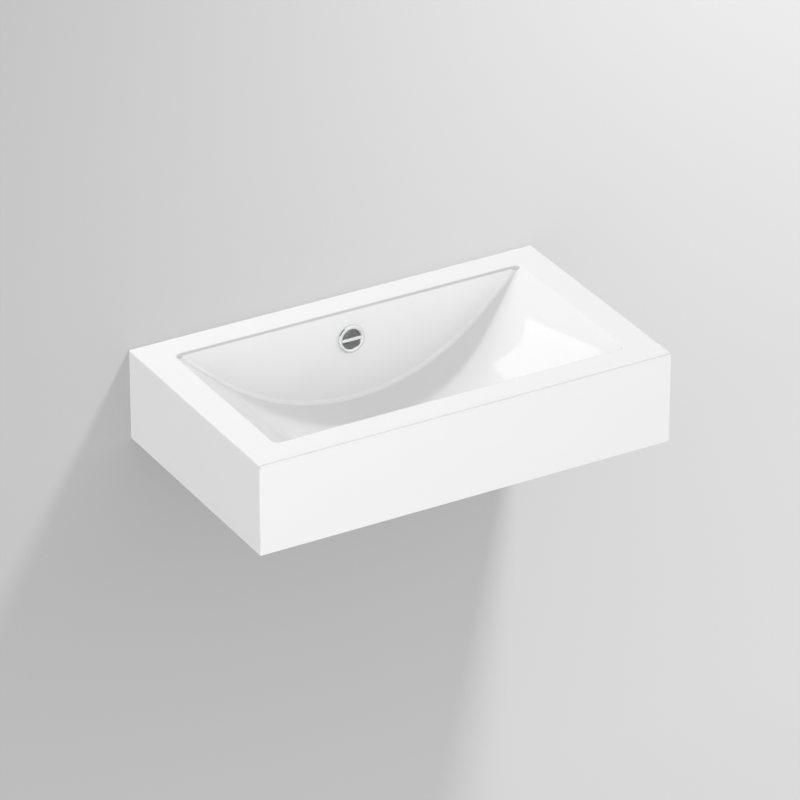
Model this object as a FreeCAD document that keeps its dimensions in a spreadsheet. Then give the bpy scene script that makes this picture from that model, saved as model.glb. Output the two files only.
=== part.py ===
import FreeCAD, Part
import math
import os
import Sketcher

# Wall-hung washbasin in enamelled steel: a flat rim and a straight apron round a bowl whose
# floor is a half pipe running front to back, with its overflow and its push-open waste.
# Lengths are millimetres and angles are degrees. +X runs to the user's right, +Y into the
# wall and +Z up. The origin lies on the wall plane, midway between the two wall bolts.

SIZES = {
    # shell
    "basin_width": 600.0,
    "basin_depth": 352.0,
    "basin_height": 128.0,
    "rim_width": 43.5,
    "sheet_thickness": 3.0,
    "edge_round": 2.0,
    "rim_round": 4.0,
    "return_width": 14.0,
    "skirt_depth": 12.0,
    # bowl
    "bowl_fall": 124.0,
    "flank_slope_share": 1.5585,
    "wall_draft": 5.0,
    "junction_round": 6.0,
    # wall fixing
    "bolt_drop": 50.0,
    "bolt_spacing": 280.0,
    "bolt_hole_radius": 5.5,
    "bush_wall": 1.4,
    "bush_clearance": 0.1,
    "bush_flange_radius": 12.0,
    "bush_flange_thickness": 2.0,
    "bracket_width": 60.0,
    "bracket_thickness": 3.0,
    "bracket_leg": 30.0,
    "bracket_below_bolt": 22.0,
    # sound mats under the two flanks of the bowl
    "mat_width": 60.0,
    "mat_length": 190.0,
    "mat_thickness": 3.0,
    # overflow
    "overflow_drop": 41.0,
    "overflow_hole_radius": 15.5,
    "ring_outer_radius": 19.5,
    "ring_inner_radius": 13.5,
    "ring_edge": 0.8,
    "ring_crown": 2.8,
    "ring_bulge_radius": 3.6,
    "ring_bar_width": 4.2,
    "ring_bar_thickness": 2.2,
    "ring_neck_wall": 1.3,
    "ring_neck_length": 17.0,
    "ring_seal_thickness": 0.8,
    "ring_seal_width": 2.5,
    "elbow_seal_thickness": 3.0,
    "elbow_seal_inset": 1.0,
    "elbow_wall": 2.5,
    "elbow_flange_thickness": 3.0,
    "elbow_flange_radius": 20.0,
    "elbow_depth": 22.0,
    "thread_clearance": 0.1,
    # overflow pipe and its compression joints
    "pipe_radius": 10.0,
    "pipe_wall": 1.5,
    "pipe_set_back": 28.0,
    "pipe_bend_radius": 28.0,
    "pipe_entry": 13.0,
    "socket_wall": 2.8,
    "socket_length": 18.0,
    "socket_clearance": 0.2,
    "joint_seal_thickness": 3.0,
    "joint_nut_height": 18.0,
    "joint_nut_lip": 3.0,
    "joint_nut_wall": 2.6,
    # waste
    "recess_fall": 4.0,
    "recess_foot_radius": 34.5,
    "recess_mouth_radius": 38.0,
    "drain_hole_radius": 23.0,
    "cup_flange_radius": 32.0,
    "cup_flange_thickness": 3.3,
    "cup_flange_edge": 0.9,
    "cup_flange_land": 3.6,
    "cup_bulge_radius": 5.0,
    "cup_neck_radius": 22.4,
    "cup_neck_wall": 2.9,
    "cup_neck_length": 27.5,
    "seat_mouth_radius": 24.0,
    "seat_fall": 5.2,
    "spider_height": 5.0,
    "spider_above_end": 3.0,
    "spider_arm_width": 3.0,
    "spider_hub_radius": 8.0,
    "flange_seal_thickness": 1.5,
    "flange_seal_inset": 1.0,
    "body_seal_thickness": 3.0,
    "body_seal_inset": 1.0,
    "body_collar_radius": 31.0,
    "body_collar_thickness": 5.0,
    "body_radius": 27.0,
    "body_chamber_length": 42.0,
    "body_floor": 4.0,
    "body_boss_radius": 24.5,
    "body_boss_length": 8.0,
    "body_chamfer": 2.5,
    "port_drop": 30.0,
    "port_reach": 44.0,
    "tail_bore_radius": 16.5,
    "tail_spigot_radius": 18.8,
    "tail_thread_radius": 20.95,
    "tail_flange_thickness": 3.0,
    "tail_thread_length": 16.0,
    "tail_spigot_gap": 1.0,
    "tail_seal_thickness": 1.5,
    "tail_seal_inset": 1.0,
    # push-open mechanism
    "plug_travel": 8.0,
    "moving_clearance": 0.3,
    "barrel_radius": 7.5,
    "barrel_bore_radius": 5.5,
    "barrel_floor": 1.5,
    "barrel_stud_radius": 5.0,
    "barrel_top_drop": 3.0,
    "plunger_bore_radius": 3.6,
    "plunger_top_wall": 2.0,
    "plunger_stud_radius": 3.0,
    "plunger_stud_length": 4.5,
    "plunger_stud_gap": 0.5,
    "spring_wire_radius": 0.45,
    "spring_mean_radius": 2.9,
    "spring_turns": 9.0,
    "plug_radius": 30.0,
    "plug_thickness": 2.4,
    "plug_dome": 2.0,
    "plug_edge_round": 1.0,
    "plug_boss_radius": 7.0,
    "plug_lift": 1.0,
    "plug_seal_radius": 21.4,
    "plug_seal_width": 3.0,
    "plug_seal_depth": 3.4,
    "cut_overrun": 20.0,
}

# Angles that follow from geometry: a full circle, a right angle, and half the turn between
# two corners of a hexagon.
FULL_TURN = 360
RIGHT_ANGLE = 90
HEXAGON_HALF_TURN = 30

# How far a modelled edge may lie from where the sizes put it.
EDGE_SLACK = 0.01

doc = FreeCAD.newDocument("washbasin")
sheet = doc.addObject("Spreadsheet::Sheet", "Sizes")
finished = []


class Size:
    """A size as FreeCAD's expression text together with the number that it gives now."""

    def __init__(self, text, value):
        self.text = text
        self.value = value

    def __add__(self, other):
        other = as_size(other)
        return Size(f"({self.text} + {other.text})", self.value + other.value)

    def __sub__(self, other):
        other = as_size(other)
        return Size(f"({self.text} - {other.text})", self.value - other.value)

    def __mul__(self, other):
        other = as_size(other)
        return Size(f"({self.text} * {other.text})", self.value * other.value)

    def __truediv__(self, other):
        other = as_size(other)
        return Size(f"({self.text} / {other.text})", self.value / other.value)

    def __neg__(self):
        return Size(f"(-1 * {self.text})", -self.value)


def as_size(number):
    """Turn a plain number into a Size and leave a Size as it is."""
    if isinstance(number, Size):
        return number
    return Size(repr(number), number)


def degrees(number):
    return Size(f"({number.text} * 1 deg)", number.value)


def sine(angle):
    return Size(f"sin({angle.text})", math.sin(math.radians(angle.value)))


def cosine(angle):
    return Size(f"cos({angle.text})", math.cos(math.radians(angle.value)))


def tangent(angle):
    return Size(f"tan({angle.text})", math.tan(math.radians(angle.value)))


def arc_tangent(ratio):
    return Size(f"atan({ratio.text})", math.degrees(math.atan(ratio.value)))


class Named:
    """The driving sizes, each under its own name."""


size = Named()
for row, (name, value) in enumerate(SIZES.items(), start=1):
    sheet.set(f"A{row}", name)
    sheet.set(f"B{row}", repr(value))
    sheet.setAlias(f"B{row}", name)
    setattr(size, name, Size(f"Sizes.{name}", value))
doc.recompute()

# Levels and places that several pieces share.
deck_level = size.bolt_drop
under_deck = deck_level - size.sheet_thickness
apron_foot = deck_level - size.basin_height
bowl_floor = deck_level - size.bowl_fall
half_width = size.basin_width / 2
half_opening = half_width - size.rim_width
bolt_place = size.bolt_spacing / 2
bush_radius = size.bolt_hole_radius + size.bush_wall
plate_hole_radius = bush_radius + size.bush_clearance
draft = degrees(size.wall_draft)

# Section of the half pipe: a round trough with a straight flank to each side of the opening,
# tangent to it. The flank is steeper than the straight line from the trough's bottom to the
# opening by a share, and the round's radius follows from the opening, the fall and the slope.
flank_slope = arc_tangent(size.bowl_fall / half_opening) * size.flank_slope_share
slope_fall = as_size(1) - cosine(flank_slope)
trough_radius = (half_opening * sine(flank_slope) - size.bowl_fall * cosine(flank_slope)) / slope_fall
trough_centre = bowl_floor + trough_radius

# The overflow's centre, on the visible face of the bowl's rear wall, and the way that it faces.
overflow_level = deck_level - size.overflow_drop
overflow_y = -(size.rim_width + size.overflow_drop * tangent(draft))
overflow_turn = as_size(RIGHT_ANGLE) - size.wall_draft

# The drain's centre, half way across the opening at the bottom of the trough.
drain_y = -(size.basin_depth / 2)
recess_level = bowl_floor - size.recess_fall
recess_underside = recess_level - size.sheet_thickness

# Radii of the compression joints at the two ends of the overflow pipe.
socket_bore = size.pipe_radius + size.socket_clearance
socket_radius = socket_bore + size.socket_wall
nut_bore = socket_radius + size.thread_clearance
nut_corner = (nut_bore + size.joint_nut_wall) / cosine(degrees(as_size(HEXAGON_HALF_TURN)))

# Levels down the overflow: the elbow's cup lies behind the wall and its socket points down.
ring_neck_radius = size.ring_inner_radius + size.ring_neck_wall
elbow_bore = ring_neck_radius + size.thread_clearance
elbow_radius = elbow_bore + size.elbow_wall
elbow_face = size.sheet_thickness + size.elbow_seal_thickness
elbow_end = elbow_face + size.elbow_flange_thickness + size.elbow_depth
socket_end = overflow_level - elbow_radius - size.socket_length

# Levels down the waste: cup, body and tail hang from the recess round the drain.
cup_underside = recess_level + size.flange_seal_thickness
cup_top = cup_underside + size.cup_flange_thickness
cup_neck_bore = size.cup_neck_radius - size.cup_neck_wall
cup_end = cup_underside - size.cup_neck_length
spider_foot = cup_end + size.spider_above_end
spider_top = spider_foot + size.spider_height
body_top = recess_underside - size.body_seal_thickness
body_bore = size.cup_neck_radius + size.thread_clearance
chamber_floor = body_top - size.body_chamber_length
boss_top = chamber_floor - size.body_floor
body_end = boss_top - size.body_boss_length
tail_bore = size.tail_spigot_radius + size.thread_clearance
tail_flange_top = body_end - size.tail_seal_thickness
tail_flange_foot = tail_flange_top - size.tail_flange_thickness
tail_end = tail_flange_foot - size.tail_thread_length
port_level = body_top - size.port_drop
port_end = drain_y + size.port_reach

# Levels of the push-open plug at rest, which is open. Closed, it stands lower by its travel.
barrel_top = cup_top - size.barrel_top_drop
barrel_bore_floor = spider_top + size.barrel_floor
plug_underside = cup_top + size.plug_lift + size.plug_travel
plug_boss_foot = barrel_top + size.moving_clearance + size.plug_travel
plunger_foot = barrel_bore_floor + size.moving_clearance + size.plug_travel
plunger_radius = size.barrel_bore_radius - size.moving_clearance
spring_top = plug_boss_foot - size.plunger_top_wall


def bind(feature, settings):
    """Tie properties of a feature to sizes."""
    for path, wanted in settings.items():
        feature.setExpression(path, as_size(wanted).text)


def place(feature, at=(0, 0, 0), axis=None, turn=0):
    """Put a feature at a point, turned about an axis through that point."""
    if axis is not None:
        feature.Placement = FreeCAD.Placement(
            FreeCAD.Vector(0, 0, 0), FreeCAD.Rotation(FreeCAD.Vector(*axis), as_size(turn).value)
        )
        bind(feature, {"Placement.Rotation.Angle": turn})
    for letter, distance in zip("xyz", at):
        if isinstance(distance, Size):
            bind(feature, {f"Placement.Base.{letter}": distance})


def name_node(feature, label):
    """Give a finished sub-part the name of its node."""
    feature.Label = label
    finished.append(feature)
    return feature


def box(name, lengths, at):
    feature = doc.addObject("Part::Box", name)
    bind(feature, dict(zip(("Length", "Width", "Height"), lengths)))
    place(feature, at)
    return feature


def cylinder(name, radius, height, at=(0, 0, 0), axis=None, turn=0):
    feature = doc.addObject("Part::Cylinder", name)
    bind(feature, {"Radius": radius, "Height": height})
    place(feature, at, axis, turn)
    return feature


def cone(name, foot_radius, top_radius, height, at):
    feature = doc.addObject("Part::Cone", name)
    bind(feature, {"Radius1": foot_radius, "Radius2": top_radius, "Height": height})
    place(feature, at)
    return feature


def hexagon(name, corner_radius, height):
    feature = doc.addObject("Part::Prism", name)
    bind(feature, {"Circumradius": corner_radius, "Height": height})
    return feature


def joined(name, pieces):
    feature = doc.addObject("Part::MultiFuse", name)
    feature.Shapes = pieces
    feature.Refine = True
    return feature


def shared_by(name, pieces):
    feature = doc.addObject("Part::MultiCommon", name)
    feature.Shapes = pieces
    return feature


def less(name, base, tool):
    feature = doc.addObject("Part::Cut", name)
    feature.Base = base
    feature.Tool = tool
    return feature


def origin_plane(body, role):
    for feature in body.Origin.OriginFeatures:
        if feature.Role == role:
            return feature
    raise RuntimeError(f"no {role} in {body.Label}")


def start_edge(sketch, corners, arcs, index):
    """Draw one side of an outline and say which of its ends comes first on the way round."""
    here = FreeCAD.Vector(corners[index][0].value, corners[index][1].value, 0)
    following = corners[(index + 1) % len(corners)]
    there = FreeCAD.Vector(following[0].value, following[1].value, 0)
    if index not in arcs:
        sketch.addGeometry(Part.LineSegment(here, there), False)
        return 1, 2
    chord = there - here
    radius = abs(arcs[index].value)
    away = math.sqrt(radius * radius - chord.Length * chord.Length / 4)
    leftwards = FreeCAD.Vector(-chord.y, chord.x, 0).normalize()
    hand = math.copysign(1, arcs[index].value)
    centre = (here + there) / 2 + leftwards * (away * hand)
    circle = Part.Circle(centre, FreeCAD.Vector(0, 0, 1), radius)
    first, last = (here, there) if hand > 0 else (there, here)
    sketch.addGeometry(Part.ArcOfCircle(circle, circle.parameter(first), circle.parameter(last)), False)
    return (1, 2) if hand > 0 else (2, 1)


def outline(sketch, corners, arcs=None, closed=True):
    """Add one outline. Corners are pairs of sizes and arcs maps a side to its radius.

    A positive radius turns to the left on the way round the outline, a negative one right.
    """
    arcs = arcs or {}
    corners = [(as_size(across), as_size(along)) for across, along in corners]
    base = sketch.GeometryCount
    count = len(corners) if closed else len(corners) - 1
    ends = [start_edge(sketch, corners, arcs, index) for index in range(count)]
    for index in range(count):
        following = (index + 1) % len(corners)
        if following < count:
            sketch.addConstraint(
                Sketcher.Constraint(
                    "Coincident", base + index, ends[index][1], base + following, ends[following][0]
                )
            )
    for index, (across, along) in enumerate(corners):
        side, end = (index, 0) if index < count else (index - 1, 1)
        for kind, wanted in (("DistanceX", across), ("DistanceY", along)):
            number = sketch.addConstraint(
                Sketcher.Constraint(kind, base + side, ends[side][end], wanted.value)
            )
            bind(sketch, {f"Constraints[{number}]": wanted})
    for index, radius in arcs.items():
        length = radius if radius.value > 0 else -radius
        number = sketch.addConstraint(Sketcher.Constraint("Radius", base + index, length.value))
        bind(sketch, {f"Constraints[{number}]": length})


def add_circle(sketch, across, along, radius):
    """Add one circle, its centre and radius given as sizes."""
    centre = FreeCAD.Vector(across.value, along.value, 0)
    circle = sketch.addGeometry(Part.Circle(centre, FreeCAD.Vector(0, 0, 1), radius.value), False)
    for kind, wanted in (("DistanceX", across), ("DistanceY", along)):
        number = sketch.addConstraint(Sketcher.Constraint(kind, circle, 3, wanted.value))
        bind(sketch, {f"Constraints[{number}]": wanted})
    number = sketch.addConstraint(Sketcher.Constraint("Radius", circle, radius.value))
    bind(sketch, {f"Constraints[{number}]": radius})


def sketch_on(body, name, role):
    sketch = body.newObject("Sketcher::SketchObject", name)
    sketch.AttachmentSupport = [(origin_plane(body, role), "")]
    sketch.MapMode = "FlatFace"
    return sketch


def turned(name, corners, arcs=None):
    """A body turned about +Z from half its section, given as radius and level."""
    body = doc.addObject("PartDesign::Body", name)
    sketch = sketch_on(body, f"{name}_section", "XZ_Plane")
    outline(sketch, corners, arcs)
    feature = body.newObject("PartDesign::Revolution", f"{name}_turn")
    feature.Profile = sketch
    feature.ReferenceAxis = (sketch, ["V_Axis"])
    feature.Angle = FULL_TURN
    sketch.Visibility = False
    return body


def ring(name, inner, outer, bottom, top):
    return turned(name, [(inner, bottom), (outer, bottom), (outer, top), (inner, top)])


def extruded(name, role, corners, arcs, length):
    """A body pushed out from an outline on one of its origin planes."""
    body = doc.addObject("PartDesign::Body", name)
    sketch = sketch_on(body, f"{name}_outline", role)
    outline(sketch, corners, arcs)
    feature = body.newObject("PartDesign::Pad", f"{name}_pad")
    feature.Profile = sketch
    bind(feature, {"Length": length})
    return body


def rounded(name, base, rounds, at=(0, 0, 0)):
    """A body that starts from another shape and rounds the edges that each test picks.

    The body takes the other shape where it was made, so a shape made at a place gives it here.
    """
    body = doc.addObject("PartDesign::Body", name)
    body.BaseFeature = base
    doc.recompute()
    for index, (picks, radius) in enumerate(rounds):
        last = body.Tip
        names = [
            f"Edge{number}" for number, edge in enumerate(last.Shape.Edges, start=1) if picks(edge)
        ]
        if not names:
            raise RuntimeError(f"{name} has no edge for round {index}")
        feature = body.newObject("PartDesign::Fillet", f"{name}_round_{index}")
        feature.Base = (last, names)
        bind(feature, {"Radius": radius})
        doc.recompute()
    place(body, at)
    return body


def near(first, second):
    """True where two numbers agree to within the slack of a modelled edge."""
    return math.isclose(first, second, abs_tol=EDGE_SLACK)


def bowl_section(skin):
    """Outline of the half pipe, grown by a skin, carried on past the deck."""
    top = deck_level + size.cut_overrun
    reach = half_opening + skin / sine(flank_slope) + size.cut_overrun / tangent(flank_slope)
    radius = trough_radius + skin
    foot_x = radius * sine(flank_slope)
    foot_level = trough_centre - radius * cosine(flank_slope)
    corners = [(-reach, top), (-foot_x, foot_level), (foot_x, foot_level), (reach, top)]
    return corners, {1: radius}


def bowl_ends(skin):
    """Side view of the bowl, between its two drafted end walls, grown by a skin."""
    top = deck_level + size.cut_overrun
    bottom = bowl_floor - size.cut_overrun
    spread = skin / cosine(draft)
    rear_top = -size.rim_width + spread + size.cut_overrun * tangent(draft)
    rear_foot = -size.rim_width + spread - (size.bowl_fall + size.cut_overrun) * tangent(draft)
    front_top = -size.basin_depth - rear_top
    front_foot = -size.basin_depth - rear_foot
    return [(front_foot, bottom), (rear_foot, bottom), (rear_top, top), (front_top, top)]


def is_junction(edge):
    """True for the edges where the half pipe meets its end walls, flanks included."""
    bounds = edge.BoundBox
    return bounds.XLength > bounds.YLength and bounds.ZLength > size.junction_round.value


def is_rear_junction(edge):
    return is_junction(edge) and edge.BoundBox.Center.y > -size.basin_depth.value / 2


def is_front_junction(edge):
    return is_junction(edge) and edge.BoundBox.Center.y < -size.basin_depth.value / 2


def bowl_form(name, skin):
    """The space inside the bowl, or with a skin the solid that its sheet fills."""
    corners, arcs = bowl_section(skin)
    trough = extruded(f"{name}_trough", "XZ_Plane", corners, arcs, size.basin_depth)
    side = extruded(f"{name}_side", "YZ_Plane", bowl_ends(skin), None, size.basin_width)
    bind(side, {"Placement.Base.x": -half_width})
    both = shared_by(f"{name}_both", [trough, side])
    round_size = size.junction_round + skin
    return rounded(name, both, [(is_rear_junction, round_size), (is_front_junction, round_size)])


def bolt_hole(name, bolt_x):
    """Space of one wall bolt's hole, from in front of the wall plane to behind it."""
    start_y = size.cut_overrun / 2
    return cylinder(
        name, plate_hole_radius, size.cut_overrun, (bolt_x, start_y, 0), (1, 0, 0), RIGHT_ANGLE
    )


def casing_block(name, bottom, height, is_rounded):
    """Block with the basin's outline, some of its edges rounded."""
    corner = (-half_width, -size.basin_depth, bottom)
    block = box(f"{name}_block", (size.basin_width, size.basin_depth, height), corner)
    return rounded(name, block, [(is_rounded, size.edge_round)], corner)


def casing_hollow(name, bottom, height):
    """Space inside the casing's sheet."""
    wall = size.sheet_thickness
    return box(
        name,
        (size.basin_width - wall * 2, size.basin_depth - wall * 2, height),
        (-half_width + wall, -size.basin_depth + wall, bottom),
    )


def is_above_foot(edge):
    """True for a block's top and upright edges, with the block's foot at zero."""
    return edge.BoundBox.ZMax > EDGE_SLACK


def is_upright(edge):
    return edge.BoundBox.ZLength > EDGE_SLACK


def is_rim_edge(edge):
    """True for the edges where the bowl meets the deck."""
    bounds = edge.BoundBox
    flat = near(bounds.ZMin, deck_level.value) and near(bounds.ZMax, deck_level.value)
    inside_x = max(abs(bounds.XMin), abs(bounds.XMax)) < half_opening.value + size.rim_round.value
    inside_y = bounds.YMax < -size.rim_width.value + size.rim_round.value
    return flat and inside_x and inside_y


def make_pressing():
    """Deck with its turned-down skirt and the bowl, drawn from one sheet and enamelled."""
    wall = size.sheet_thickness
    skirt_foot = deck_level - size.skirt_depth
    lid = casing_block("deck_lid", skirt_foot, size.skirt_depth, is_above_foot)
    hollow_depth = size.skirt_depth - wall + size.cut_overrun
    under_lid = casing_hollow("deck_hollow", skirt_foot - size.cut_overrun, hollow_depth)
    limit = box(
        "bowl_limit",
        (size.basin_width, size.basin_depth, size.bowl_fall + size.cut_overrun),
        (-half_width, -size.basin_depth, bowl_floor - size.cut_overrun),
    )
    bowl_outside = shared_by("bowl_outside", [bowl_form("bowl_skin", wall), limit])
    boss = cylinder(
        "recess_boss",
        size.recess_mouth_radius + wall,
        size.recess_fall + wall,
        (0, drain_y, recess_underside),
    )
    mouth_slope = (size.recess_mouth_radius - size.recess_foot_radius) / size.recess_fall
    recess_rise = size.recess_fall * 2
    recess = cone(
        "recess_space",
        size.recess_foot_radius,
        size.recess_foot_radius + mouth_slope * recess_rise,
        recess_rise,
        (0, drain_y, recess_level),
    )
    drain = cylinder(
        "drain_hole",
        size.drain_hole_radius,
        size.cut_overrun,
        (0, drain_y, recess_underside - size.cut_overrun / 2),
    )
    half_overrun = size.cut_overrun / 2
    overflow = cylinder(
        "overflow_hole",
        size.overflow_hole_radius,
        size.cut_overrun,
        (0, overflow_y + half_overrun * cosine(draft), overflow_level - half_overrun * sine(draft)),
        (1, 0, 0),
        overflow_turn,
    )
    bowl_space = bowl_form("bowl_space", as_size(0))
    spaces = joined("pressing_spaces", [bowl_space, recess, drain, overflow])
    solid = joined("pressing_solid", [less("deck_casing", lid, under_lid), bowl_outside, boss])
    raw = less("pressing_raw", solid, spaces)
    name_node(rounded("pressing", raw, [(is_rim_edge, size.rim_round)]), "bowl_pressing")


def make_apron():
    """Sheet folded round under the deck's skirt and welded to it, its foot turned inwards."""
    wall = size.sheet_thickness
    height = size.basin_height - size.skirt_depth
    skin = casing_block("apron_skin", apron_foot, height, is_upright)
    hollow = casing_hollow("apron_hollow", apron_foot + wall, height)
    turn_in = size.return_width
    mouth = box(
        "apron_mouth",
        (size.basin_width - turn_in * 2, size.basin_depth - turn_in * 2, size.cut_overrun),
        (-half_width + turn_in, -size.basin_depth + turn_in, apron_foot + wall * 2 - size.cut_overrun),
    )
    bolts = [
        bolt_hole(f"rear_panel_hole_{side}", bolt_x)
        for side, bolt_x in (("left", -bolt_place), ("right", bolt_place))
    ]
    name_node(less("apron_sheet", skin, joined("apron_spaces", [hollow, mouth] + bolts)), "apron")


def make_brackets():
    """Two angles welded behind the deck, which carry the basin on its wall bolts."""
    wall = size.sheet_thickness
    thick = size.bracket_thickness
    for side, bolt_x in (("left", -bolt_place), ("right", bolt_place)):
        near_x = bolt_x - size.bracket_width / 2
        upright = box(
            f"bracket_upright_{side}",
            (size.bracket_width, thick, under_deck + size.bracket_below_bolt),
            (near_x, -(wall + thick), -size.bracket_below_bolt),
        )
        shelf = box(
            f"bracket_shelf_{side}",
            (size.bracket_width, size.bracket_leg, thick),
            (near_x, -(wall + size.bracket_leg), under_deck - thick),
        )
        hole = bolt_hole(f"bracket_hole_{side}", bolt_x)
        angle = joined(f"bracket_angle_{side}", [upright, shelf])
        name_node(less(f"bracket_{side}", angle, hole), f"wall_bracket_{side}")


def make_bushes():
    """Flanged plastic bushes that line the two bolt holes, flush with the wall plane."""
    seat = size.sheet_thickness + size.bracket_thickness
    face = seat + size.bush_flange_thickness
    bushes = []
    for side, bolt_x in (("left", -bolt_place), ("right", bolt_place)):
        corners = [
            (size.bolt_hole_radius, 0),
            (bush_radius, 0),
            (bush_radius, seat),
            (size.bush_flange_radius, seat),
            (size.bush_flange_radius, face),
            (size.bolt_hole_radius, face),
        ]
        bush = turned(f"bush_{side}", corners)
        place(bush, (bolt_x, 0, 0), (1, 0, 0), RIGHT_ANGLE)
        bushes.append(bush)
    name_node(joined("bushes", bushes), "bracket_bushes")


def make_sound_mats():
    """Mats glued under the two flanks, which keep the sheet from drumming."""
    radius = trough_radius + size.sheet_thickness
    foot_x = radius * sine(flank_slope)
    foot_level = trough_centre - radius * cosine(flank_slope)
    flank_top = half_opening + size.sheet_thickness / sine(flank_slope)
    flank = (flank_top - foot_x) / cosine(flank_slope)
    inset = (flank - size.mat_width) / 2
    rear_y = drain_y - size.mat_length / 2
    for side, hand, start in (("left", -1, inset + size.mat_width), ("right", 1, inset)):
        mat = doc.addObject("Part::Box", f"mat_{side}")
        bind(mat, {"Length": size.mat_width, "Width": size.mat_length, "Height": size.mat_thickness})
        out = foot_x + start * cosine(flank_slope) + size.mat_thickness * sine(flank_slope)
        level = foot_level + start * sine(flank_slope) - size.mat_thickness * cosine(flank_slope)
        place(mat, (out * hand, rear_y, level), (0, 1, 0), flank_slope * -hand)
        name_node(mat, f"sound_mat_{side}")


def face_the_bowl(feature):
    """Turn a piece so that its +Z points out of the rear wall, at the overflow's centre."""
    place(feature, (0, overflow_y, overflow_level), (1, 0, 0), overflow_turn)


def make_overflow_ring():
    """Chromed ring with a rounded face, a threaded neck and a bar to turn it by."""
    seat = size.ring_seal_thickness
    middle = (size.ring_inner_radius + size.ring_outer_radius) / 2
    corners = [
        (size.ring_inner_radius, -size.ring_neck_length),
        (ring_neck_radius, -size.ring_neck_length),
        (ring_neck_radius, seat),
        (size.ring_outer_radius, seat),
        (size.ring_outer_radius, seat + size.ring_edge),
        (middle, seat + size.ring_crown),
        (size.ring_inner_radius, seat + size.ring_edge),
    ]
    bulge = size.ring_bulge_radius
    crown = turned("ring_crown", corners, {4: bulge, 5: bulge})
    reach = size.ring_inner_radius + size.ring_neck_wall / 2
    bar = box(
        "ring_bar",
        (reach * 2, size.ring_bar_width, size.ring_bar_thickness),
        (-reach, -size.ring_bar_width / 2, seat),
    )
    whole = joined("ring", [crown, bar])
    face_the_bowl(whole)
    name_node(whole, "overflow_ring")


def make_overflow_seals():
    """Flat seal under the ring and thick seal between the sheet and the elbow."""
    hole = size.overflow_hole_radius
    front = ring("front_seal", hole, hole + size.ring_seal_width, as_size(0), size.ring_seal_thickness)
    face_the_bowl(front)
    name_node(front, "overflow_front_seal")
    outer = size.elbow_flange_radius - size.elbow_seal_inset
    rear = ring("rear_seal", hole, outer, -elbow_face, -size.sheet_thickness)
    face_the_bowl(rear)
    name_node(rear, "overflow_rear_seal")


def make_overflow_elbow():
    """Plastic cup that the ring screws into, with a socket pointing down for the pipe."""
    flange_back = elbow_face + size.elbow_flange_thickness
    corners = [
        (0, -elbow_end),
        (elbow_radius, -elbow_end),
        (elbow_radius, -flange_back),
        (size.elbow_flange_radius, -flange_back),
        (size.elbow_flange_radius, -elbow_face),
        (0, -elbow_face),
    ]
    cup = turned("elbow_cup", corners)
    face_the_bowl(cup)
    socket = cylinder(
        "elbow_socket", socket_radius, overflow_level - socket_end, (0, -size.pipe_set_back, socket_end)
    )
    inside = turned(
        "elbow_inside",
        [
            (0, -(elbow_end - size.elbow_wall)),
            (elbow_bore, -(elbow_end - size.elbow_wall)),
            (elbow_bore, 0),
            (0, 0),
        ],
    )
    face_the_bowl(inside)
    way_down = cylinder(
        "elbow_way",
        size.pipe_radius - size.pipe_wall,
        overflow_level - socket_end + size.cut_overrun,
        (0, -size.pipe_set_back, socket_end - size.cut_overrun),
    )
    entry = cylinder(
        "elbow_entry",
        socket_bore,
        size.pipe_entry + size.cut_overrun,
        (0, -size.pipe_set_back, socket_end - size.cut_overrun),
    )
    solid = joined("elbow_solid", [cup, socket])
    spaces = joined("elbow_spaces", [inside, way_down, entry])
    name_node(less("elbow", solid, spaces), "overflow_elbow")


def joint_nut(name):
    """Six-sided nut with a lip, opening upwards, that squeezes a seal onto the pipe."""
    blank = hexagon(f"{name}_blank", nut_corner, size.joint_nut_height)
    lip_bore = size.pipe_radius + size.socket_clearance
    space = turned(
        f"{name}_space",
        [
            (0, -size.cut_overrun),
            (lip_bore, -size.cut_overrun),
            (lip_bore, size.joint_nut_lip),
            (nut_bore, size.joint_nut_lip),
            (nut_bore, size.joint_nut_height + size.cut_overrun),
            (0, size.joint_nut_height + size.cut_overrun),
        ],
    )
    return less(name, blank, space)


def joint_seal(name):
    inner = size.pipe_radius + size.thread_clearance
    return ring(name, inner, socket_radius, as_size(0), size.joint_seal_thickness)


def make_pipe_joints():
    """A nut and a seal at each end of the overflow pipe."""
    seal_level = socket_end - size.joint_seal_thickness
    upper_nut = joint_nut("upper_nut")
    place(upper_nut, (0, -size.pipe_set_back, seal_level - size.joint_nut_lip))
    name_node(upper_nut, "elbow_nut")
    upper_seal = joint_seal("upper_seal")
    place(upper_seal, (0, -size.pipe_set_back, seal_level))
    name_node(upper_seal, "elbow_seal")
    seal_y = port_end + size.joint_seal_thickness
    lower_nut = joint_nut("lower_nut")
    place(lower_nut, (0, seal_y + size.joint_nut_lip, port_level), (1, 0, 0), RIGHT_ANGLE)
    name_node(lower_nut, "port_nut")
    lower_seal = joint_seal("lower_seal")
    place(lower_seal, (0, seal_y, port_level), (1, 0, 0), RIGHT_ANGLE)
    name_node(lower_seal, "port_seal")


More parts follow.
